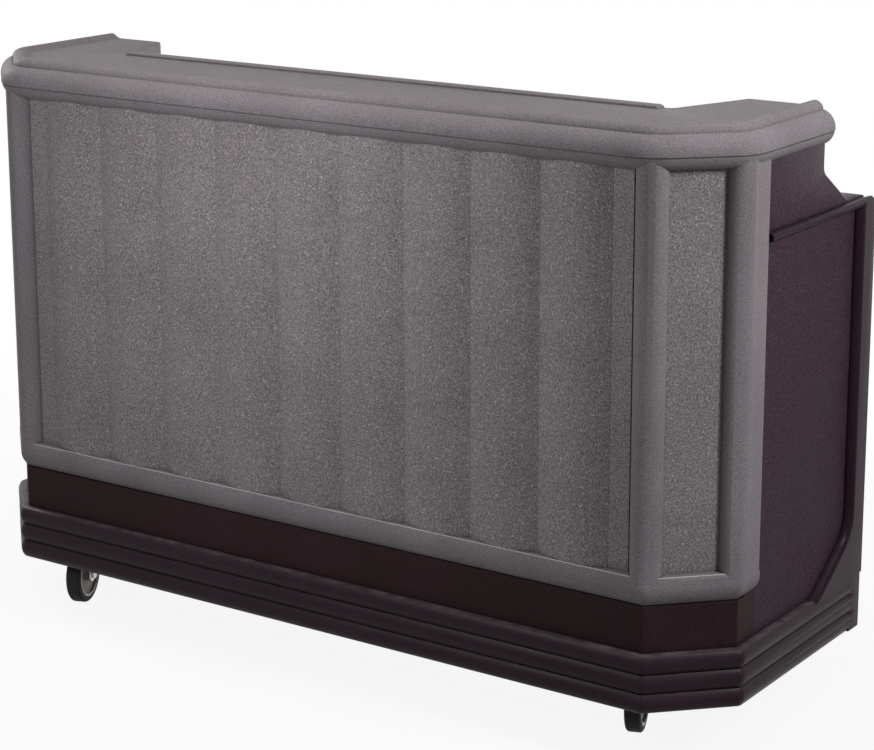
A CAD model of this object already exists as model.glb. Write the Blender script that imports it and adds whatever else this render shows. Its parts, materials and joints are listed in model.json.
# Looks of the mobile bar unit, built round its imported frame. Lengths of the pieces are millimetres.
import json
import math
import bmesh
import bpy
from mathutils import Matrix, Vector


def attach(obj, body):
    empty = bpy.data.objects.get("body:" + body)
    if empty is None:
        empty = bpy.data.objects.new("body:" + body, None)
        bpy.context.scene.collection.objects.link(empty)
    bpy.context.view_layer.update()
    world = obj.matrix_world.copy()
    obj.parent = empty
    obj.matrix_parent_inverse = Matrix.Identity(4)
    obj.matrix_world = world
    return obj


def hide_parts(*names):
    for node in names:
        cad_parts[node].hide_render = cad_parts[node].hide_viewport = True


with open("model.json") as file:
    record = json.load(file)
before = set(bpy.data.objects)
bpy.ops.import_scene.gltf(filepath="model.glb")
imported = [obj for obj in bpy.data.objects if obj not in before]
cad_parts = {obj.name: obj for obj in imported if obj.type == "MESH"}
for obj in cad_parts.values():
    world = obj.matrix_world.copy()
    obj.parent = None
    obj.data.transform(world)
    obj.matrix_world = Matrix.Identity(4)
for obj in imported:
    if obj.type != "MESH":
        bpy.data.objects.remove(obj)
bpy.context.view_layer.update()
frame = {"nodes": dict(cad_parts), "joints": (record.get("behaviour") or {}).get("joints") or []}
scene = bpy.context.scene
mm = 0.001  # metres in a millimetre
hair = 1e-6  # metres, less than any real step
white = (1.0, 1.0, 1.0, 1.0)


# Node helpers

def addNode(tree, kind, **settings):
    node = tree.nodes.new(kind)
    for key, value in settings.items():
        setattr(node, key, value)
    return node


def wire(tree, source, target):
    tree.links.new(source, target)


def feed(tree, value, socket):
    # a number or a colour is written on the socket, an output is wired to it
    if isinstance(value, (int, float)):
        socket.default_value = value
    elif isinstance(value, tuple):
        socket.default_value = (*value, 1.0)
    else:
        wire(tree, value, socket)


def mathNode(tree, operation, a, b, clamp=False):
    node = addNode(tree, "ShaderNodeMath", operation=operation, use_clamp=clamp)
    feed(tree, a, node.inputs[0])
    feed(tree, b, node.inputs[1])
    return node.outputs[0]


def rangeNode(tree, value, low, high, toLow, toHigh):
    node = addNode(tree, "ShaderNodeMapRange")
    wire(tree, value, node.inputs["Value"])
    for name, number in (("From Min", low), ("From Max", high), ("To Min", toLow), ("To Max", toHigh)):
        node.inputs[name].default_value = number
    return node.outputs["Result"]


def mixColour(tree, factor, a, b, blend="MIX"):
    node = addNode(tree, "ShaderNodeMix", data_type="RGBA", blend_type=blend)
    for index, value in ((0, factor), (6, a), (7, b)):  # factor and the two colour sockets
        feed(tree, value, node.inputs[index])
    return node.outputs[2]


def objectPlace(tree):
    return addNode(tree, "ShaderNodeTexCoord").outputs["Object"]


def noiseNode(tree, place, scale, detail, roughness=0.5):
    node = addNode(tree, "ShaderNodeTexNoise")
    wire(tree, place, node.inputs["Vector"])
    feed(tree, scale, node.inputs["Scale"])
    node.inputs["Detail"].default_value = detail
    node.inputs["Roughness"].default_value = roughness
    return node.outputs["Fac"]


def startGroup(name, inputs, outputs):
    group = bpy.data.node_groups.new(name, "ShaderNodeTree")
    for label, value in inputs:
        socket = group.interface.new_socket(name=label, in_out="INPUT", socket_type="NodeSocketFloat")
        socket.default_value = value
    for label in outputs:
        group.interface.new_socket(name=label, in_out="OUTPUT", socket_type="NodeSocketFloat")
    return group, addNode(group, "NodeGroupInput"), addNode(group, "NodeGroupOutput")


def placeGroup(tree, group, **values):
    node = addNode(tree, "ShaderNodeGroup", node_tree=group)
    for label, value in values.items():
        node.inputs[label].default_value = value
    return node


# Shared effects: scales of noise are per metre, those of clumps and patches are shares of the density

skinLook = dict(density=320.0, tips=0.62, beadSmooth=0.6, beadSpan=0.6, beadShare=0.55, clumpScale=0.75,
                clumpDetail=3.0, clumpRough=0.62, clumpShare=1.3, patchScale=0.9, patchDetail=2.0,
                patchSpan=(0.36, 0.64), speckGain=9.0)
grainLook = dict(density=900.0, detail=2.0, cloudScale=6.0, cloudDetail=5.0)
creviceLook = dict(reach=0.007, amount=0.7, samples=6)
dustLook = dict(amount=0.2, upPower=4.0, patchScale=35.0, patchDetail=6.0, patchSpan=(0.35, 0.7), least=0.3)


def makePebbleSkin():
    # raised beads of a blasted mould, with a few bright tips
    look = skinLook
    group, source, target = startGroup(
        "pebbleSkin", (("Density", look["density"]), ("Tips", look["tips"])), ("Height", "Tone", "Specks"))
    place, density = objectPlace(group), source.outputs["Density"]
    beads = addNode(group, "ShaderNodeTexVoronoi", feature="SMOOTH_F1")
    wire(group, place, beads.inputs["Vector"])
    wire(group, density, beads.inputs["Scale"])
    beads.inputs["Smoothness"].default_value = look["beadSmooth"]
    clumpScale = mathNode(group, "MULTIPLY", density, look["clumpScale"])
    clumps = noiseNode(group, place, clumpScale, look["clumpDetail"], look["clumpRough"])
    bead = rangeNode(group, beads.outputs["Distance"], 0.0, look["beadSpan"], 1.0, 0.0)
    bead = mathNode(group, "MULTIPLY", bead, look["beadShare"])
    lump = mathNode(group, "MULTIPLY", clumps, look["clumpShare"])
    wire(group, mathNode(group, "ADD", bead, lump), target.inputs["Height"])
    patchScale = mathNode(group, "MULTIPLY", density, look["patchScale"])
    patches = noiseNode(group, place, patchScale, look["patchDetail"])
    wire(group, rangeNode(group, patches, *look["patchSpan"], 0.0, 1.0), target.inputs["Tone"])
    over = mathNode(group, "SUBTRACT", clumps, source.outputs["Tips"])
    wire(group, mathNode(group, "MULTIPLY", over, look["speckGain"], clamp=True), target.inputs["Specks"])
    return group


def makeFineGrain():
    # silky grain of a polished mould, and slow clouds over it
    look = grainLook
    group, source, target = startGroup("fineGrain", (("Density", look["density"]),), ("Height", "Cloud"))
    place = objectPlace(group)
    wire(group, noiseNode(group, place, source.outputs["Density"], look["detail"]), target.inputs["Height"])
    wire(group, noiseNode(group, place, look["cloudScale"], look["cloudDetail"]), target.inputs["Cloud"])
    return group


def makeCreviceShade():
    # dirt and shade that gather where two mouldings meet
    look = creviceLook
    group, source, target = startGroup(
        "creviceShade", (("Reach", look["reach"]), ("Amount", look["amount"])), ("Shade",))
    hollow = addNode(group, "ShaderNodeAmbientOcclusion", samples=look["samples"], only_local=False)
    wire(group, source.outputs["Reach"], hollow.inputs["Distance"])
    shut = mathNode(group, "SUBTRACT", 1.0, hollow.outputs["AO"])
    shade = mathNode(group, "MULTIPLY", shut, source.outputs["Amount"], clamp=True)
    wire(group, shade, target.inputs["Shade"])
    return group


def makeDustFall():
    # thin dust on what faces up
    look = dustLook
    group, source, target = startGroup("dustFall", (("Amount", look["amount"]),), ("Dust",))
    facing = addNode(group, "ShaderNodeSeparateXYZ")
    wire(group, addNode(group, "ShaderNodeNewGeometry").outputs["Normal"], facing.inputs[0])
    upward = mathNode(group, "POWER", mathNode(group, "MAXIMUM", facing.outputs["Z"], 0.0), look["upPower"])
    patch = noiseNode(group, objectPlace(group), look["patchScale"], look["patchDetail"])
    spread = rangeNode(group, patch, *look["patchSpan"], look["least"], 1.0)
    lying = mathNode(group, "MULTIPLY", upward, spread)
    wire(group, mathNode(group, "MULTIPLY", lying, source.outputs["Amount"]), target.inputs["Dust"])
    return group


pebbleSkin = makePebbleSkin()
fineGrain = makeFineGrain()
creviceShade = makeCreviceShade()
dustFall = makeDustFall()
print("shared effects made")


# Finishes

# colours are linear, contrast is the swing of the tone, gloss is the specular level,
# pebble is beads per metre and depth is in millimetres
finishes = {
    "greyPebble": dict(
        base=(0.124, 0.110, 0.118), second=(0.150, 0.134, 0.143), speck=(0.34, 0.315, 0.33),
        rough=(0.38, 0.52), gloss=0.12, contrast=0.36,
        pebble=330.0, tips=0.59, depth=0.34, shade=0.45, dust=0.0),
    "greySatin": dict(
        base=(0.122, 0.109, 0.117), second=(0.143, 0.129, 0.138), speck=(0.26, 0.245, 0.25),
        rough=(0.50, 0.62), gloss=0.012, contrast=0.22,
        pebble=480.0, tips=0.66, depth=0.13, shade=0.75, dust=0.06),
    "rubbedEdge": dict(
        base=(0.25, 0.235, 0.245), second=(0.34, 0.32, 0.33), speck=(0.42, 0.40, 0.41),
        rough=(0.40, 0.55), gloss=0.1, contrast=0.2,
        pebble=480.0, tips=0.66, depth=0.05, shade=0.3, dust=0.0),
    "bandSatin": dict(
        base=(0.0120, 0.0055, 0.0090), second=(0.0172, 0.0085, 0.0132), speck=(0.05, 0.036, 0.048),
        rough=(0.36, 0.50), gloss=0.09, contrast=0.15,
        pebble=600.0, tips=0.72, depth=0.10, shade=0.85, dust=0.2),
    "plinthMatte": dict(
        base=(0.0150, 0.0072, 0.0086), second=(0.0215, 0.0112, 0.0130), speck=(0.028, 0.018, 0.02),
        rough=(0.55, 0.72), gloss=0.06, contrast=0.25,
        pebble=420.0, tips=0.66, depth=0.20, shade=0.6, dust=0.05),
    "endPebble": dict(
        base=(0.0186, 0.0092, 0.0155), second=(0.0266, 0.0142, 0.0224), speck=(0.068, 0.045, 0.064),
        rough=(0.48, 0.64), gloss=0.05, contrast=0.5,
        pebble=310.0, tips=0.61, depth=0.3, shade=0.8, dust=0.04),
    "beadSatin": dict(
        base=(0.0092, 0.0046, 0.0078), second=(0.0135, 0.0072, 0.0112), speck=(0.05, 0.036, 0.048),
        rough=(0.27, 0.37), gloss=0.04, contrast=0.12,
        pebble=420.0, tips=0.70, depth=0.10, shade=1.0, dust=0.03),
    "counterMatte": dict(
        base=(0.022, 0.018, 0.020), second=(0.032, 0.026, 0.029), speck=(0.07, 0.06, 0.065),
        rough=(0.45, 0.62), gloss=0.15, contrast=0.3,
        pebble=380.0, tips=0.65, depth=0.22, shade=0.7, dust=0.12),
    "linerPlastic": dict(
        base=(0.085, 0.080, 0.084), second=(0.105, 0.099, 0.103), speck=(0.2, 0.19, 0.195),
        rough=(0.34, 0.48), gloss=0.3, contrast=0.12,
        pebble=620.0, tips=0.70, depth=0.08, shade=0.7, dust=0.08),
    "zincPlate": dict(
        base=(0.46, 0.47, 0.49), second=(0.58, 0.58, 0.57), speck=(0.66, 0.65, 0.62),
        rough=(0.26, 0.46), gloss=0.5, contrast=0.1, metal=1.0,
        pebble=260.0, tips=0.62, depth=0.03, shade=0.8, dust=0.08),
    "tyreRubber": dict(
        base=(0.012, 0.0112, 0.0115), second=(0.022, 0.020, 0.020), speck=(0.06, 0.055, 0.05),
        rough=(0.58, 0.78), gloss=0.12, contrast=0.2,
        pebble=520.0, tips=0.66, depth=0.10, shade=0.5, dust=0.15),
    "coreNylon": dict(
        base=(0.21, 0.18, 0.162), second=(0.26, 0.225, 0.205), speck=(0.36, 0.32, 0.30),
        rough=(0.40, 0.55), gloss=0.3, contrast=0.1,
        pebble=500.0, tips=0.70, depth=0.08, shade=0.8, dust=0.1),
    "ringPale": dict(
        base=(0.47, 0.45, 0.43), second=(0.56, 0.54, 0.52), speck=(0.66, 0.64, 0.62),
        rough=(0.28, 0.42), gloss=0.4, contrast=0.08,
        pebble=500.0, tips=0.72, depth=0.04, shade=0.6, dust=0.05),
    "pedalRed": dict(
        base=(0.30, 0.022, 0.018), second=(0.37, 0.033, 0.025), speck=(0.45, 0.09, 0.07),
        rough=(0.26, 0.40), gloss=0.4, contrast=0.1,
        pebble=480.0, tips=0.70, depth=0.06, shade=0.7, dust=0.08),
}
finishMix = dict(cloudSpan=(0.3, 0.7), dustColour=(0.30, 0.28, 0.27), creviceTone=0.18, ripple=0.25)


def makeFinish(name, values):
    material = bpy.data.materials.new(name)
    material.use_nodes = True
    tree = material.node_tree
    shader = next(node for node in tree.nodes if node.type == "BSDF_PRINCIPLED")
    skin = placeGroup(tree, pebbleSkin, Density=values["pebble"], Tips=values["tips"])
    grain = placeGroup(tree, fineGrain)
    crevice = placeGroup(tree, creviceShade, Amount=values["shade"])
    dust = placeGroup(tree, dustFall, Amount=values["dust"])
    cloud = rangeNode(tree, grain.outputs["Cloud"], *finishMix["cloudSpan"], 0.0, 1.0)
    colour = mixColour(tree, cloud, values["base"], values["second"])
    swing = values["contrast"]
    tone = rangeNode(tree, skin.outputs["Tone"], 0.0, 1.0, 1.0 - swing, 1.0 + swing)
    colour = mixColour(tree, 1.0, colour, tone, "MULTIPLY")
    colour = mixColour(tree, skin.outputs["Specks"], colour, values["speck"])
    colour = mixColour(tree, dust.outputs["Dust"], colour, finishMix["dustColour"])
    dark = tuple(part * finishMix["creviceTone"] for part in values["base"])
    colour = mixColour(tree, crevice.outputs["Shade"], colour, dark)
    wire(tree, colour, shader.inputs["Base Color"])
    rough = rangeNode(tree, grain.outputs["Cloud"], *finishMix["cloudSpan"], *values["rough"])
    wire(tree, rough, shader.inputs["Roughness"])
    shader.inputs["Metallic"].default_value = values.get("metal", 0.0)
    shader.inputs["Specular IOR Level"].default_value = values["gloss"]
    bump = addNode(tree, "ShaderNodeBump")
    bump.inputs["Strength"].default_value = 1.0
    bump.inputs["Distance"].default_value = values["depth"] * mm
    ripple = mathNode(tree, "MULTIPLY", grain.outputs["Height"], finishMix["ripple"])
    wire(tree, mathNode(tree, "ADD", skin.outputs["Height"], ripple), bump.inputs["Height"])
    wire(tree, bump.outputs["Normal"], shader.inputs["Normal"])
    return material


madeFinish = {name: makeFinish(name, values) for name, values in finishes.items()}
print("finishes made:", len(madeFinish))


# Plan of the bar, and mesh helpers

barPlan = dict(half=924.0, front=-330.0, rear=330.0, cut=140.0, panelEnd=-111.716, postY=270.0,
               wingRear=126.0, barRear=-55.0, wingRoot=672.0, wingTip=736.0, minTurn=1.5)
meshCare = dict(weld=0.02, thin=0.01)
frontAngle, cornerAngle = 270.0, 45.0  # degrees: the way out of the front, and the turn of each corner
halfTurn = math.radians(cornerAngle / 2)


def arcPoints(centre, radius, start, end, steps):
    # profile points (depth behind the face, height); 180 degrees points out of the face
    angles = [math.radians(start + (end - start) * k / steps) for k in range(steps + 1)]
    return [(centre[0] + radius * math.cos(a), centre[1] + radius * math.sin(a)) for a in angles]


def cornerSpot(corner, inset):
    # corner 0 ends the front, corner 1 starts the right end
    if corner == 0:
        return barPlan["half"] - barPlan["cut"] - inset * math.tan(halfTurn), barPlan["front"] + inset
    return barPlan["half"] - inset, barPlan["front"] + barPlan["cut"] + inset * math.tan(halfTurn)


def stationSpot(station, inset, turn):
    # where a station of the plan lies when the face is moved inwards
    side, kind, value = station[:3]
    if kind == "end":
        return side * (barPlan["half"] - inset), value
    if kind == "middle":
        return 0.0, barPlan["front"] + inset
    radius = max(turn - inset, barPlan["minTurn"])
    spot = cornerSpot(kind, inset)
    middle = math.radians(frontAngle + cornerAngle * (kind + 0.5))
    swing = math.radians(frontAngle + cornerAngle * (kind + value))
    reach = radius / math.cos(halfTurn)
    return (side * (spot[0] - reach * math.cos(middle) + radius * math.cos(swing)),
            spot[1] - reach * math.sin(middle) + radius * math.sin(swing))


def barStations(endStops, turnSteps):
    # from the rear of the left end, round the front, to the rear of the right end
    right = [(1, corner, k / turnSteps, "front") for corner in (0, 1) for k in range(turnSteps + 1)]
    right += [(1, "end", y, zone) for y, zone in endStops]
    left = [(-1, kind, value, zone) for _, kind, value, zone in reversed(right)]
    return left + [(1, "middle", 0.0, "front")] + right


def ringsAlong(stations, profileOf, turn):
    return [[(*stationSpot(station, depth, turn), z) for depth, z in profileOf(station)]
            for station in stations]


def loft(rings, closed):
    count = len(rings[0])
    faces = []
    for k in range(len(rings) - 1):
        for j in range(count if closed else count - 1):
            a, b = k * count + j, k * count + (j + 1) % count
            faces.append((a, b, b + count, a + count))
    return [point for ring in rings for point in ring], faces


def capped(rings):
    points, faces = loft(rings, True)
    count = len(rings[0])
    faces.append(tuple(range(count)))
    faces.append(tuple(range(len(points) - 1, len(points) - 1 - count, -1)))
    return points, faces


def cleanMesh(mesh):
    work = bmesh.new()
    work.from_mesh(mesh)
    bmesh.ops.remove_doubles(work, verts=work.verts, dist=meshCare["weld"] * mm)
    bmesh.ops.dissolve_degenerate(work, edges=work.edges, dist=meshCare["thin"] * mm)
    bmesh.ops.recalc_face_normals(work, faces=work.faces)
    work.to_mesh(mesh)
    work.free()


def newMesh(name, points, faces, finishNames, faceFinish=None):
    mesh = bpy.data.meshes.new(name)
    mesh.from_pydata([Vector(point) * mm for point in points], [], faces)
    for finishName in finishNames:
        mesh.materials.append(madeFinish[finishName])
    if faceFinish:
        for polygon, index in zip(mesh.polygons, faceFinish):
            polygon.material_index = index
    cleanMesh(mesh)
    return mesh


def softEdges(mesh, chosen, offset, segments=3):
    # rounds the edges for which chosen(edge) is true
    work = bmesh.new()
    work.from_mesh(mesh)
    edges = [edge for edge in work.edges if chosen(edge)]
    bmesh.ops.bevel(work, geom=edges, offset=offset * mm, segments=segments, affect="EDGES",
                    profile=0.5, clamp_overlap=True)
    work.to_mesh(mesh)
    work.free()


def joinMeshes(name, meshes):
    # one closed skin round several closed skins
    first = bpy.data.objects.new(name, meshes[0])
    scene.collection.objects.link(first)
    others = []
    for mesh in meshes[1:]:
        other = bpy.data.objects.new(name + "Tool", mesh)
        scene.collection.objects.link(other)
        join = first.modifiers.new("join", "BOOLEAN")
        join.operation, join.solver, join.object = "UNION", "MANIFOLD", other
        others.append(other)
    bpy.context.view_layer.update()
    joined = bpy.data.meshes.new_from_object(first.evaluated_get(bpy.context.evaluated_depsgraph_get()))
    for thing in [first] + others:
        bpy.data.objects.remove(thing)
    return joined


def addPiece(name, mesh, replaced=(), body="cabinet", smooth=34):
    mesh.polygons.foreach_set("use_smooth", [True] * len(mesh.polygons))
    mesh.set_sharp_from_angle(angle=math.radians(smooth))
    piece = bpy.data.objects.new(name, mesh)
    scene.collection.objects.link(piece)
    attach(piece, body)
    if replaced:
        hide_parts(*replaced)


# Bar top

barTop = dict(under=1127.0, parting=1156.0, partGap=1.0, partDeep=1.9, foot=25.0, footBevel=(2.0, 1.6),
              bullZ=1163.0, bullR=35.0, bullEnd=107.5, step=0.8, groove=((1.0, 1.1), (1.5, 0.3)),
              rimIn=44.0, rimZ=1195.0, rimR=18.0, rimStart=172.0, flat=1203.0, fillet=24.8, filletAngle=40.0,
              panelBack=45.0, turn=100.0, serviceEdge=5.0, edgeShare=0.29, rootRound=14.0,
              lowerSteps=12, bullSteps=18, rimSteps=16, filletSteps=7, rootSteps=6, turnSteps=14)


def lowerArc(foot):
    # lower half of the bullnose, a little smaller than the upper half, up from this depth
    b = barTop
    radius = b["bullR"] - b["step"]
    start = 360 - math.degrees(math.acos((foot - b["bullR"]) / radius))
    end = 180 + math.degrees(math.asin((b["bullZ"] - b["parting"]) / radius))
    return arcPoints((b["bullR"], b["bullZ"]), radius, start, end, b["lowerSteps"])


def upperEdge():
    # parting line, upper bullnose, groove, rim and the fillet down to the flat
    b = barTop
    start = 180 + math.degrees(math.asin((b["bullZ"] - b["parting"]) / b["bullR"]))
    bull = arcPoints((b["bullR"], b["bullZ"]), b["bullR"], start, b["bullEnd"], b["bullSteps"])
    groove = [(bull[-1][0] + inward, bull[-1][1] - down) for inward, down in b["groove"]]
    rim = arcPoints((b["rimIn"], b["rimZ"]), b["rimR"], b["rimStart"], 90.0 - b["filletAngle"], b["rimSteps"])
    slope, steps = math.radians(b["filletAngle"]), b["filletSteps"]
    footDepth = rim[-1][0] + b["fillet"] * math.sin(slope)
    drop = rim[-1][1] - (b["flat"] + b["fillet"] * (1 - math.cos(slope)))
    sweep = []
    for k in range(steps):
        swing = slope * (1 - (k + 1) / steps)
        z = b["flat"] + b["fillet"] * (1 - math.cos(swing)) + drop * (1 - k / (steps - 1))
        sweep.append((footDepth - b["fillet"] * math.sin(swing), z))
    part = [(b["partDeep"] + b["step"], b["parting"]), (b["partDeep"], b["parting"] + b["partGap"])]
    return part + [spot for spot in bull if spot[1] > b["parting"] + b["partGap"]] + groove + rim + sweep


def barProfile(station):
    b = barTop
    upper = upperEdge()
    bevelIn, bevelUp = b["footBevel"]
    lower = [(b["foot"] + bevelIn, b["under"]), (b["foot"], b["under"] + bevelUp)] + lowerArc(b["foot"])
    inner = upper[-1][0]
    if station[3] == "wing":
        return [(inner, b["under"])] + lower + upper
    # over the panel the bar keeps only its upper half, with as many points
    back, spare = b["panelBack"], len(lower) - 2
    spread = [(back + (lower[-1][0] - back) * (k + 1) / spare, b["parting"]) for k in range(spare)]
    return [(inner, b["under"]), (back, b["under"]), (back, b["parting"])] + spread + upper


def serviceRings():
    # operator's edge from the tip of the right wing to the tip of the left wing
    b, plan = barTop, barPlan
    tip, root = Vector((plan["wingTip"], plan["wingRear"])), Vector((plan["wingRoot"], plan["barRear"]))
    along = (root - tip).normalized()
    outer, rear = Vector((-along.y, along.x)), Vector((0.0, -1.0))
    centre = root - (outer + rear) / (1 + outer.dot(rear)) * b["rootRound"]
    right = [(tip, Vector((1 / outer.x, 0.0)))]
    for k in range(b["rootSteps"] + 1):
        normal = outer.lerp(rear, k / b["rootSteps"]).normalized()
        right.append((centre + normal * b["rootRound"], normal))
    left = [(Vector((-spot.x, spot.y)), Vector((-normal.x, normal.y))) for spot, normal in reversed(right)]
    r = b["serviceEdge"]
    cut = r * b["edgeShare"]
    edge = [(r, b["flat"]), (cut, b["flat"] - cut), (0.0, b["flat"] - r),
            (0.0, b["under"] + r), (cut, b["under"] + cut), (r, b["under"])]
    return [[(*(spot + normal * inset), z) for inset, z in edge] for spot, normal in right + left]


def makeBarTop():
    stops = [(barPlan["panelEnd"], "front"), (barPlan["panelEnd"], "wing"), (barPlan["wingRear"], "wing")]
    rings = ringsAlong(barStations(stops, barTop["turnSteps"]), barProfile, barTop["turn"])
    points, faces = loft(rings, False)
    count, total = len(rings[0]), len(points)
    service = serviceRings()
    servicePoints, serviceFaces = loft(service, False)
    points += servicePoints
    faces += [tuple(index + total for index in face) for face in serviceFaces]
    steps = len(service[0])
    tops = [k * count + count - 1 for k in range(len(rings))]
    bottoms = [k * count for k in range(len(rings))]
    faces.append(tuple(tops + [total + k * steps for k in range(len(service))]))
    faces.append(tuple(bottoms + [total + k * steps + steps - 1 for k in range(len(service))]))
    last = (len(rings) - 1) * count
    faces.append(tuple(range(last, last + count)) + tuple(range(total, total + steps)))
    start = total + (len(service) - 1) * steps
    faces.append(tuple(range(count)) + tuple(range(start, start + steps)))
    addPiece("barTop", newMesh("barTop", points, faces, ["greySatin"]), ["bar_top"])


# low lip along the operator's edge of the front bar; ends are (distance from the tip, share of the height)
dripLip = dict(y=(-80.0, -55.4), half=658.0, frontSide=((0.0, -1.0), (0.4, 3.6), (2.6, 6.0)),
               rearSide=((3.0, 6.0), (0.6, 4.4), (0.0, -1.0)), ends=((0.0, 0.1), (2.5, 0.75), (8.0, 1.0)))


def makeDripLip():
    lip, half = dripLip, dripLip["half"]
    front, rear = lip["y"]
    section = [(front + inward, z) for inward, z in lip["frontSide"]]
    section += [(rear - inward, z) for inward, z in lip["rearSide"]]
    stops = [(-half + inward, share) for inward, share in lip["ends"]]
    stops += [(half - inward, share) for inward, share in reversed(lip["ends"])]
    rings = [[(x, y, barTop["flat"] + (z * share if z > 0 else z)) for y, z in section] for x, share in stops]
    addPiece("dripLip", newMesh("dripLip", *capped(rings), ["greySatin"]))


makeBarTop()
makeDripLip()
print("bar top made")


# Front panel

frontPanel = dict(fieldIn=31.0, backIn=45.0, shellFoot=352.0, shellTop=1150.0,
                  reedCount=9, reedRise=15.0, reedMargin=47.0, reedSteps=14, reedLeast=0.4, reedStep=0.01,
                  columnIn=39.0, columnR=30.0, columnSteps=(26, 24), leadFar=4.0, leadNear=(1.6, 3.0),
                  returnIn=10.0, returnRound=8.0, returnSteps=5,
                  sillFoot=315.0, sillCrest=348.0, sillTop=371.0, sillIn=8.0, sillR=40.0, sillTurn=30.0,
                  sillTrim=(1.5, 1.2), sillUnder=21.5, sillEdge=1.6, sillLap=3.0, sillShy=1.0, sillSteps=18,
                  sillTurnSteps=8, cornerR=33.0, cornerSteps=12,
                  headFoot=16.8, headEdge=(1.8, 1.2), headShy=0.5)
panelFinishes = ["greyPebble", "greySatin", "rubbedEdge"]
pebbled, satin, rubbed = range(3)  # places in panelFinishes


def panelOutline():
    # right half of the outer plan from the middle of the front, with the finish of each step
    p, plan = frontPanel, barPlan
    fieldY = plan["front"] + p["fieldIn"]
    lift = p["columnIn"] - p["fieldIn"]
    chord = math.sqrt(p["columnR"] ** 2 - lift ** 2)
    first, second = (Vector(cornerSpot(corner, p["columnIn"])) for corner in (0, 1))
    edge = first.x - chord
    pitch = 2 * (edge - p["reedMargin"]) / p["reedCount"]
    reedR = (pitch ** 2 / 4 + p["reedRise"] ** 2) / (2 * p["reedRise"])
    spots = []
    for step in range(p["reedCount"] * p["reedSteps"] // 2 + 1):
        x = step * pitch / p["reedSteps"]
        part = (x / pitch + 0.5) % 1.0 - 0.5
        bulge = math.sqrt(reedR ** 2 - (part * pitch) ** 2) - (reedR - p["reedRise"])
        spots.append((x, fieldY - max(bulge, p["reedLeast"]), pebbled))
    spots.append((spots[-1][0] + p["reedStep"], fieldY, pebbled))
    spots.append((edge - p["leadFar"], fieldY, pebbled))
    leadX, leadY = p["leadNear"]
    spots.append((edge - leadX, fieldY + leadY, satin))
    lean = math.degrees(math.asin(lift / p["columnR"]))
    firstSteps, secondSteps = p["columnSteps"]
    column = arcPoints(first, p["columnR"], 180 + lean, 360 + cornerAngle - lean, firstSteps)
    spots += [(x, y, satin) for x, y in column]
    spots[-1] = (*spots[-1][:2], pebbled)  # the flat of the cut corner starts here
    end = 360 + math.degrees(math.asin(math.sqrt(1 - ((p["columnIn"] - p["returnIn"]) / p["columnR"]) ** 2)))
    column = arcPoints(second, p["columnR"], 180 + cornerAngle + lean, end, secondSteps)
    spots += [(x, y, satin) for x, y in column]
    r = p["returnRound"]
    centre = (plan["half"] - p["returnIn"] - r, plan["panelEnd"] - r)
    return spots + [(x, y, satin) for x, y in arcPoints(centre, r, 0.0, 90.0, p["returnSteps"])]


def makePanelShell():
    p, plan = frontPanel, barPlan
    half = panelOutline()
    outline = [(-x, y) for x, y, _ in reversed(half[1:])] + [(x, y) for x, y, _ in half]
    kinds = [kind for _, _, kind in half[:-1]]
    back = p["backIn"]
    inner = [(plan["half"] - back, plan["panelEnd"]), cornerSpot(1, back), cornerSpot(0, back)]
    inner += [(-x, y) for x, y in reversed(inner)]
    rings = [[(x, y, z) for x, y in outline + inner] for z in (p["shellFoot"], p["shellTop"])]
    points, faces = capped(rings)
    kinds = kinds[::-1] + kinds
    return newMesh("panelShell", points, faces, panelFinishes, kinds + [satin] * (len(faces) - len(kinds)))


def sillProfile(station):
    p = frontPanel
    trimLow, trimHigh = p["sillTrim"]
    heights = (p["sillFoot"] + trimLow, p["sillTop"] - trimHigh)
    low, high = (math.degrees(math.asin((z - p["sillCrest"]) / p["sillR"])) for z in heights)
    centre, back = (p["sillIn"] + p["sillR"], p["sillCrest"]), p["backIn"] - p["sillShy"]
    ring = [(back, p["sillFoot"]), (centre[0] - p["sillUnder"], p["sillFoot"])]
    ring += arcPoints(centre, p["sillR"], 180 - low, 180 - high, p["sillSteps"])
    ring.append((ring[-1][0] + p["sillEdge"], p["sillTop"]))
    ring += [(p["fieldIn"] + p["sillLap"], p["sillTop"]), (back, p["sillTop"])]
    if station[1] != "end":
        return ring
    # the rear end of the sill turns up in a quarter round
    behind = station[2] - (barPlan["panelEnd"] - p["cornerR"])
    if behind <= 0:
        return ring
    lowest = p["sillCrest"] - math.sqrt(max(p["cornerR"] ** 2 - behind ** 2, 0.0))
    r = p["returnRound"]
    over = max(behind - (p["cornerR"] - r), 0.0)
    tuck = r - math.sqrt(max(r ** 2 - over ** 2, 0.0))
    return [(depth + (tuck if depth < p["fieldIn"] else 0.0), max(z, lowest)) for depth, z in ring]


def headProfile(station):
    # the panel's head carries on the lower half of the bullnose, all the way round
    p = frontPanel
    face = lowerArc(p["headFoot"])
    edgeIn, edgeDown = p["headEdge"]
    under, back = face[0][1] - edgeDown, p["backIn"] - p["headShy"]
    return [(back, under), (p["headFoot"] + edgeIn, under)] + face + [(back, barTop["parting"])]


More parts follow.
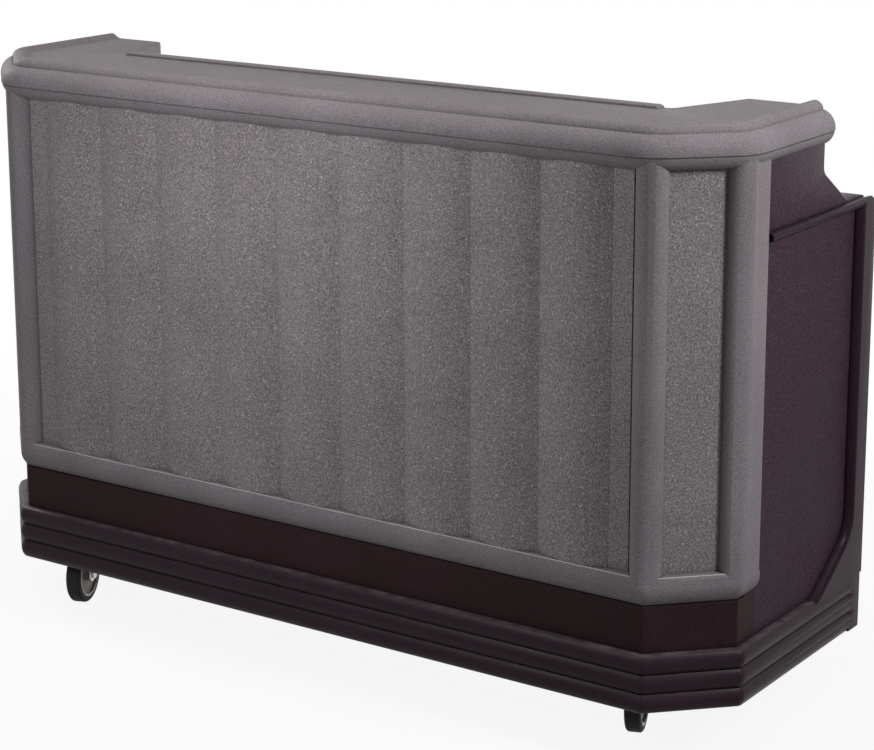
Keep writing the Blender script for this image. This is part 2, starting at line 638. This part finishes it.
def makeFrontPanel():
    p, end = frontPanel, barPlan["panelEnd"]
    r, steps = p["cornerR"], p["cornerSteps"]
    stops = [(end - r + r * math.sin(math.radians(90 * k / steps)), "end") for k in range(steps + 1)]
    sillStations = barStations(stops, p["sillTurnSteps"])
    sill, sillFaces = capped(ringsAlong(sillStations, sillProfile, p["sillTurn"]))
    headStations = barStations([(end, "end")], barTop["turnSteps"])
    head, headFaces = capped(ringsAlong(headStations, headProfile, barTop["turn"]))
    sides = len(sillProfile(sillStations[len(sillStations) // 2]))
    strip = sides - 4  # the strip along the sill's top edge
    sillKinds = [rubbed if k % sides == strip else satin for k in range(len(sillFaces) - 2)] + [satin, satin]
    skins = [makePanelShell(),
             newMesh("panelSill", sill, sillFaces, panelFinishes, sillKinds),
             newMesh("panelHead", head, headFaces, panelFinishes, [satin] * len(headFaces))]
    addPiece("frontPanel", joinMeshes("frontPanel", skins), ["front_panel"], smooth=30)


makeFrontPanel()
print("front panel made")


# Base: three bands, the skirt behind them and the plinth on top

baseBands = dict(foot=109.0, bandH=38.0, bandCount=3, bandR=28.0, top=223.0, groove=10.4, grooveHalf=0.9,
                 lips=((9.2, 0.0), (8.2, 0.4)), deck=159.0, skirt=34.0, skirtBevel=0.8, backIn=45.0,
                 plinthIn=20.0, plinthTop=315.0, plinthBevel=1.0, plinthPoints=6, postIn=2.0,
                 rearR=9.0, rearMid=2.6, pocket=8.0, pocketY=(6.0, 7.0, 20.0), tuck=45.0, tuckTop=350.0,
                 turn=22.0, turnSteps=5, arcSteps=10)
baseFinishes = ["bandSatin", "plinthMatte"]
onBand, onPlinth = range(2)  # places in baseFinishes


def bandProfile(station):
    b = baseBands
    zone = station[3]
    reach = math.degrees(math.asin((b["bandH"] / 2 - b["grooveHalf"]) / b["bandR"]))
    joints = [b["foot"] + k * b["bandH"] for k in range(1, b["bandCount"])]
    face = [(depth, b["foot"] + rise) for depth, rise in b["lips"]]
    for k in range(b["bandCount"]):
        middle = b["foot"] + (k + 0.5) * b["bandH"]
        face += arcPoints((b["bandR"], middle), b["bandR"], 180 + reach, 180 - reach, b["arcSteps"])
        face += [(b["groove"], z) for z in joints[k:k + 1]]
    face += [(depth, b["top"] - rise) for depth, rise in reversed(b["lips"])]
    if zone in ("post", "rearRound", "rear"):
        face = [(b["postIn"], z) for _, z in face]
    elif zone == "pocket":
        near = [min(abs(z - joint) for joint in joints) < b["pocket"] for _, z in face]
        face = [(depth if isNear else b["postIn"], z) for isNear, (depth, z) in zip(near, face)]
    extra = {"rearRound": b["rearMid"], "rear": b["rearR"]}.get(zone, 0.0)
    face = [(depth + extra, z) for depth, z in face]
    inner, back, low, bevel = b["plinthIn"], b["backIn"], b["top"], b["plinthBevel"]
    if zone in ("front", "tuck"):
        high = b["tuckTop"] if zone == "tuck" else b["plinthTop"]
        top = [(inner, low), (inner, low + bevel), (inner, high - bevel),
               (inner + bevel, high), (back, high), (back, low)]
    else:
        last = b["plinthPoints"] - 1
        top = [(inner + (back - inner) * k / last, low) for k in range(last + 1)]
    skirt, edge = b["skirt"], b["skirtBevel"]
    return [(skirt, b["deck"]), (skirt, b["foot"] + edge), (skirt - edge, b["foot"])] + face + top


def makeBase():
    plan, b = barPlan, baseBands
    tuckY, postY = plan["panelEnd"] - b["tuck"], plan["postY"]
    stops = [(tuckY, "front"), (tuckY, "tuck"), (plan["panelEnd"], "tuck"), (plan["panelEnd"], "end")]
    stops += [(postY + shift, zone) for shift, zone in zip(b["pocketY"], ("end", "pocket", "post"))]
    rounding = ((b["rearR"], "post"), (b["rearMid"], "rearRound"), (0.0, "rear"))
    stops += [(plan["rear"] - back, zone) for back, zone in rounding]
    rings = ringsAlong(barStations(stops, b["turnSteps"]), bandProfile, b["turn"])
    points, faces = loft(rings, False)
    count = len(rings[0])
    plinthFrom = count - b["plinthPoints"]
    strip = [onPlinth if j >= plinthFrom else onBand for j in range(count - 1)]
    kinds = strip * (len(rings) - 1)
    last = (len(rings) - 1) * count
    faces.append(tuple(k * count for k in range(len(rings))))
    faces.append(tuple(k * count + count - 1 for k in range(len(rings))))
    faces.append(tuple(range(count - 1, -1, -1)) + tuple(range(last, last + count)))
    mesh = newMesh("baseBands", points, faces, baseFinishes, kinds + [onPlinth] * 3)
    addPiece("baseBands", mesh, ["base_moulding"], smooth=38)


makeBase()
print("base made")


# End walls: slab, bead down the post and along the gusset, plate behind it, and rail

endWall = dict(fieldIn=20.0, innerIn=75.0, buried=32.0, shy=0.4, clear=1.0, foot=223.0, top=1141.0,
               wingY=128.0, slopeTop=1077.0, slopeFoot=238.0, slopeRounds=(26.0, 22.0), rimRound=4.0,
               postTop=1005.0, postRound=28.0, postIn=2.0, postDrop=11.0,
               beadW=15.0, beadSteps=10, beadEnd=1.0,
               gussetZ=325.0, gussetY=120.0, gussetRound=80.0, bandRound=90.0,
               plateRound=2.0, plateLap=0.8, plateTrim=1.2, plateStep=6.0, plateShy=0.3,
               rearRound=9.0, rearSegments=4,
               railZ=993.0, railR=11.6, railHalf=8.2, railIn=14.4, railEnd=330.0, railStep=15,
               railTip=((9.0, 1.0), (4.5, 0.94), (1.6, 0.84), (0.0, 0.7)))
wallFinishes = ["endPebble", "beadSatin", "bandSatin"]


def roundedLine(corners, steps=7):
    # polyline through (y, z, radius) corners, each turned with an arc
    line = []
    for k, (y, z, radius) in enumerate(corners):
        spot = Vector((y, z))
        if radius == 0:
            line.append(spot)
            continue
        before = (Vector(corners[k - 1][:2]) - spot).normalized()
        after = (Vector(corners[(k + 1) % len(corners)][:2]) - spot).normalized()
        half = before.angle(after) / 2
        reach = radius / math.tan(half)
        centre = spot + (before + after).normalized() * (radius / math.sin(half))
        start, end = spot + before * reach - centre, spot + after * reach - centre
        for step in range(steps + 1):
            line.append(centre + start.slerp(end, step / steps).normalized() * radius)
    return line


def wallRings(side, outline, depths):
    return [[(side * (barPlan["half"] - depth), y, z) for y, z in outline] for depth in depths]


def wallSlab(side):
    e, plan = endWall, barPlan
    rear, postTop = plan["rear"] - e["shy"], e["postTop"] - e["shy"]
    roundLow, roundHigh = e["slopeRounds"]
    line = roundedLine([(plan["panelEnd"], e["foot"], 0), (rear, e["foot"], 0),
                        (rear, postTop, e["postRound"]), (e["slopeFoot"], postTop, roundLow),
                        (e["wingY"], e["slopeTop"], roundHigh), (e["wingY"], e["top"], 0),
                        (plan["panelEnd"], e["top"], 0)])
    mesh = newMesh("wallSlab", *capped(wallRings(side, line, (e["innerIn"], e["fieldIn"]))), wallFinishes)
    front = (plan["panelEnd"] + e["clear"]) * mm
    low, high = (e["foot"] + e["clear"]) * mm, (e["top"] - e["clear"]) * mm

    def onRim(edge):
        # rear and sloping edges, clear of the panel, the base and the bar top
        a, b = (vert.co for vert in edge.verts)
        alongWall, upright = abs(a.x - b.x) < hair, abs(a.y - b.y) < hair
        clear = min(a.y, b.y) > front and min(a.z, b.z) > low
        return alongWall and clear and (upright or max(a.z, b.z) < high)
    softEdges(mesh, onRim, e["rimRound"])
    return mesh


def beadLine():
    # foot of the bead: down the post, along the gusset and forward on the top band
    e, plan = endWall, barPlan
    postY, front = plan["postY"], plan["panelEnd"] + e["beadEnd"]
    return roundedLine([(postY, e["postTop"] - e["postDrop"], 0), (postY, e["gussetZ"], e["gussetRound"]),
                        (e["gussetY"], e["foot"], e["bandRound"]), (front, e["foot"], 0)])


def lineInward(line, k):
    along = (line[min(k + 1, len(line) - 1)] - line[max(k - 1, 0)]).normalized()
    return Vector((-along.y, along.x))


def wallBead(side):
    e, plan = endWall, barPlan
    section = [(0.0, e["buried"])]
    for step in range(e["beadSteps"] + 1):
        swing = math.radians(90 * step / e["beadSteps"])
        depth = e["fieldIn"] - (e["fieldIn"] - e["postIn"]) * math.sin(swing)
        section.append((e["beadW"] * (1 - math.cos(swing)), depth))
    section.append((e["beadW"], e["buried"]))
    line = beadLine()
    rings = []
    for k, spot in enumerate(line):
        inward = lineInward(line, k)
        moved = [(spot + inward * offset, depth) for offset, depth in section]
        rings.append([(side * (plan["half"] - depth), place.x, place.y) for place, depth in moved])
    return newMesh("wallBead", *capped(rings), wallFinishes)


def wallPlate(side):
    # flat of the post and gusset behind the bead
    e, plan = endWall, barPlan
    line = beadLine()
    inner = [spot + lineInward(line, k) * (e["beadW"] - e["plateLap"]) for k, spot in enumerate(line)]
    inner = [spot for spot in inner if spot.y > e["foot"] - e["beadW"] + e["plateTrim"]]
    (topY, topZ), (footY, footZ) = inner[0], inner[-1]
    step, foot = plan["postY"] + e["plateStep"], e["foot"] + e["plateShy"]
    rear = roundedLine([(footY, footZ, 0), (step, footZ, 0), (step, foot, 0), (plan["rear"], foot, 0),
                        (plan["rear"], topZ, e["plateRound"]), (topY, topZ, 0)])
    outline = inner[1:] + rear[1:]
    mesh = newMesh("wallPlate", *capped(wallRings(side, outline, (e["buried"], e["postIn"]))), wallFinishes)
    faceX, low = (plan["half"] - e["postIn"]) * mm, (e["foot"] + e["clear"]) * mm
    rearY = (plan["rear"] - e["plateRound"] - e["clear"]) * mm

    def onRear(edge):
        onFace = all(abs(abs(vert.co.x) - faceX) < hair and vert.co.y > rearY for vert in edge.verts)
        return onFace and max(vert.co.z for vert in edge.verts) > low
    softEdges(mesh, onRear, e["rearRound"], e["rearSegments"])
    return mesh


def wallRail(side):
    # oval rail that closes in at its rear end
    e, plan = endWall, barPlan
    turns = [math.radians(angle) for angle in range(-180, 180, e["railStep"])]
    stops = [(plan["panelEnd"], 1.0)] + [(e["railEnd"] - back, share) for back, share in e["railTip"]]
    middle = plan["half"] - e["railIn"]
    rings = []
    for y, share in stops:
        wide, high = share * e["railR"], share * e["railHalf"]
        ring = [(middle + wide * math.cos(a), e["railZ"] + high * math.sin(a)) for a in turns]
        rings.append([(side * x, y, z) for x, z in ring])
    return newMesh("wallRail", *capped(rings), wallFinishes)


def makeEndWall(side, name, node):
    skins = [wallSlab(side), wallBead(side), wallPlate(side), wallRail(side)]
    for mesh, finishName in zip(skins, ("endPebble", "beadSatin", "bandSatin", "beadSatin")):
        mesh.polygons.foreach_set("material_index", [wallFinishes.index(finishName)] * len(mesh.polygons))
    addPiece(name, joinMeshes(name, skins), [node], smooth=36)


makeEndWall(1, "endWallRight", "end_wall_right")
makeEndWall(-1, "endWallLeft", "end_wall_left")
print("end walls made")


# Carried-over solids: finish and edge round by the start of the node's name

carriedOver = {
    "front_wall": ("endPebble", 2.0),
    "work_counter": ("counterMatte", 5.0),
    "divider": ("endPebble", 3.0),
    "shelf_cleats": ("endPebble", 2.0),
    "ice_bin": ("linerPlastic", 1.6),
    "ice_lid": ("linerPlastic", 2.0),
    "drain_stem": ("zincPlate", 0.6),
    "drain_valve": ("zincPlate", 0.8),
    "drain_lever": ("pedalRed", 1.2),
    "bottle_well": ("linerPlastic", 1.2),
    "shelf": ("linerPlastic", 2.5),
    "caster_bolts": ("zincPlate", 0.5),
    "plate": ("zincPlate", 0.6),
    "swivel": ("zincPlate", 0.5),
    "fork": ("zincPlate", 0.7),
    "axle": ("zincPlate", 0.6),
    "core": ("coreNylon", 0.8),
    "tyre": ("tyreRubber", 0.0),
    "brake_pin": ("zincPlate", 0.4),
    "brake_pedal": ("pedalRed", 0.8),
}
carriedEdge = dict(weld=0.01, segments=2, angle=40.0)
rebuilt = ("bar_top", "front_panel", "base_moulding", "end_wall_left", "end_wall_right")


def dressNode(name, thing):
    key = max((key for key in carriedOver if name.startswith(key)), key=len)
    finishName, edge = carriedOver[key]
    thing.data.materials.clear()
    thing.data.materials.append(madeFinish[finishName])
    weld = thing.modifiers.new("weld", "WELD")
    weld.merge_threshold = carriedEdge["weld"] * mm
    if edge > 0:
        bevel = thing.modifiers.new("softEdge", "BEVEL")
        bevel.width, bevel.segments = edge * mm, carriedEdge["segments"]
        bevel.limit_method, bevel.angle_limit = "ANGLE", math.radians(carriedEdge["angle"])
        bevel.harden_normals = True


carried = {name: thing for name, thing in frame["nodes"].items() if name not in rebuilt}
for nodeName, nodeThing in carried.items():
    dressNode(nodeName, nodeThing)
print("carried-over solids dressed:", len(carried))


# Wheel trim: a pale ring on each side, where the tyre meets the core

wheelTrim = dict(ringR=(46.8, 50.6), ringFace=15.6, ringSunk=0.8, ringProud=16.9, steps=64,
                 innerEdge=((0.5, 0.5), (1.4, 0.0)), outerEdge=((1.2, 0.0), (0.3, 0.6)))


def ringProfile(sign):
    # (radius, reach along the axle), with rounded shoulders
    w = wheelTrim
    inner, outer = w["ringR"]
    sunk, high = w["ringFace"] - w["ringSunk"], w["ringProud"]
    crown = [(inner + inset, high - down) for inset, down in w["innerEdge"]]
    crown += [(outer - inset, high - down) for inset, down in w["outerEdge"]]
    return [(radius, sign * reach) for radius, reach in [(inner, sunk)] + crown + [(outer, sunk)]]


def lathePiece(name, profile, joint, finishName, body):
    centre, axis = Vector(joint["pos_m"]) / mm, Vector(joint["axis"]).normalized()
    upward = Vector((0.0, 0.0, 1.0))
    sideways = axis.cross(upward).normalized()
    rings = []
    for k in range(wheelTrim["steps"]):
        a = 2 * math.pi * k / wheelTrim["steps"]
        spoke = upward * math.cos(a) + sideways * math.sin(a)
        rings.append([tuple(centre + spoke * radius + axis * reach) for radius, reach in profile])
    points, faces = loft(rings + [rings[0]], True)
    addPiece(name, newMesh(name, points, faces, [finishName]), body=body, smooth=40)


for joint in frame["joints"]:
    if not joint["name"].startswith("roll_"):
        continue
    corner = joint["name"].removeprefix("roll_")
    for sign, label in ((1, "outer"), (-1, "inner")):
        ringName = "wheelRing_" + corner + "_" + label
        lathePiece(ringName, ringProfile(sign), joint, "ringPale", "wheel_" + corner)
print("wheel trim made")


# Stage, light and camera: lengths of the floor and the lamps are metres

stageSize = dict(floor=14.0, tone=0.4, glowNear=0.9, nearReach=1.3, farReach=2.8, fill=0.1)


def backdropRay(tree):
    # rays that see the white studio and not the light in it
    path = addNode(tree, "ShaderNodeLightPath")
    mirror = mathNode(tree, "MAXIMUM", path.outputs["Is Glossy Ray"], path.outputs["Is Transmission Ray"])
    return mathNode(tree, "MAXIMUM", path.outputs["Is Camera Ray"], mirror)


def makeFloor():
    # pale paper that keeps the shadow near the bar and fades to white further out
    s, tone = stageSize["floor"], stageSize["tone"]
    mesh = bpy.data.meshes.new("floor")
    mesh.from_pydata([(-s, -s, 0), (s, -s, 0), (s, s, 0), (-s, s, 0)], [], [(0, 1, 2, 3)])
    floor = bpy.data.objects.new("floor", mesh)
    scene.collection.objects.link(floor)
    paper = bpy.data.materials.new("floorPaper")
    paper.use_nodes = True
    tree = paper.node_tree
    tree.nodes.clear()
    out = addNode(tree, "ShaderNodeOutputMaterial")
    matte = addNode(tree, "ShaderNodeBsdfDiffuse")
    matte.inputs["Color"].default_value = (tone, tone, tone, 1.0)
    glow = addNode(tree, "ShaderNodeEmission")
    glow.inputs["Color"].default_value = white
    away = addNode(tree, "ShaderNodeVectorMath", operation="LENGTH")
    wire(tree, objectPlace(tree), away.inputs[0])
    near, far = stageSize["nearReach"], stageSize["farReach"]
    share = rangeNode(tree, away.outputs["Value"], near, far, stageSize["glowNear"], 1.0)
    blend = addNode(tree, "ShaderNodeMixShader")
    wire(tree, mathNode(tree, "MULTIPLY", backdropRay(tree), share), blend.inputs["Fac"])
    wire(tree, matte.outputs[0], blend.inputs[1])
    wire(tree, glow.outputs[0], blend.inputs[2])
    wire(tree, blend.outputs[0], out.inputs["Surface"])
    mesh.materials.append(paper)


def makeWorld():
    world = bpy.data.worlds.new("studio")
    scene.world = world
    world.use_nodes = True
    tree = world.node_tree
    back = next(node for node in tree.nodes if node.type == "BACKGROUND")
    back.inputs["Color"].default_value = white
    wire(tree, rangeNode(tree, backdropRay(tree), 0.0, 1.0, stageSize["fill"], 1.0), back.inputs["Strength"])


lamps = dict(
    frontLamp=dict(place=(-0.16, -1.42, 1.4), aim=(-0.05, -0.3, 0.9), size=(0.2, 0.8), power=16.8),
    rightLamp=dict(place=(2.6, -0.2, 2.02), aim=(0.9, -0.15, 0.98), size=(0.3, 0.8), power=63.0),
    topLamp=dict(place=(0.0, -0.4, 3.4), aim=(0.0, -0.2, 0.8), size=(3.0, 0.6), power=49.0),
    leftLamp=dict(place=(-2.6, 0.1, 1.8), aim=(-0.9, 0.0, 0.9), size=(0.45, 0.8), power=50.0),
    rearLamp=dict(place=(-0.2, 3.2, 0.75), aim=(0.0, 0.2, 0.62), size=(2.6, 0.8), power=95.0),
)


def makeLamp(name, place, aim, size, power):
    lamp = bpy.data.lights.new(name, "AREA")
    lamp.shape, lamp.size, lamp.size_y, lamp.energy = "RECTANGLE", size[0], size[1], power
    thing = bpy.data.objects.new(name, lamp)
    scene.collection.objects.link(thing)
    thing.location = place
    thing.rotation_euler = (Vector(aim) - Vector(place)).to_track_quat("-Z", "Y").to_euler()
    thing.visible_camera = False


# place and sensor in millimetres, angles in degrees, far clip in metres, the rest in pixels of the photograph
camera = dict(place=(2846.3, -4000.6, 1916.9), yaw=34.008, pitch=13.284, focalPx=2423.0,
              axisPx=(455.0, 287.6), framePx=(874, 750), sensor=36.0, farClip=60.0)


def makeCamera():
    data = bpy.data.cameras.new("photoCamera")
    thing = bpy.data.objects.new("photoCamera", data)
    scene.collection.objects.link(thing)
    yaw, pitch = math.radians(camera["yaw"]), math.radians(camera["pitch"])
    look = Vector((-math.sin(yaw) * math.cos(pitch), math.cos(yaw) * math.cos(pitch), -math.sin(pitch)))
    thing.location = Vector(camera["place"]) * mm
    thing.rotation_euler = look.to_track_quat("-Z", "Y").to_euler()
    wide, high = camera["framePx"]
    axisX, axisY = camera["axisPx"]
    data.sensor_width = camera["sensor"]
    data.lens = camera["focalPx"] / wide * data.sensor_width
    data.shift_x = (wide / 2 - axisX) / wide
    data.shift_y = (axisY - high / 2) / wide
    data.clip_end = camera["farClip"]
    scene.camera = thing


makeFloor()
makeWorld()
for lampName, values in lamps.items():
    makeLamp(lampName, **values)
makeCamera()
scene.view_settings.view_transform = "Standard"
print("stage, light and camera made")
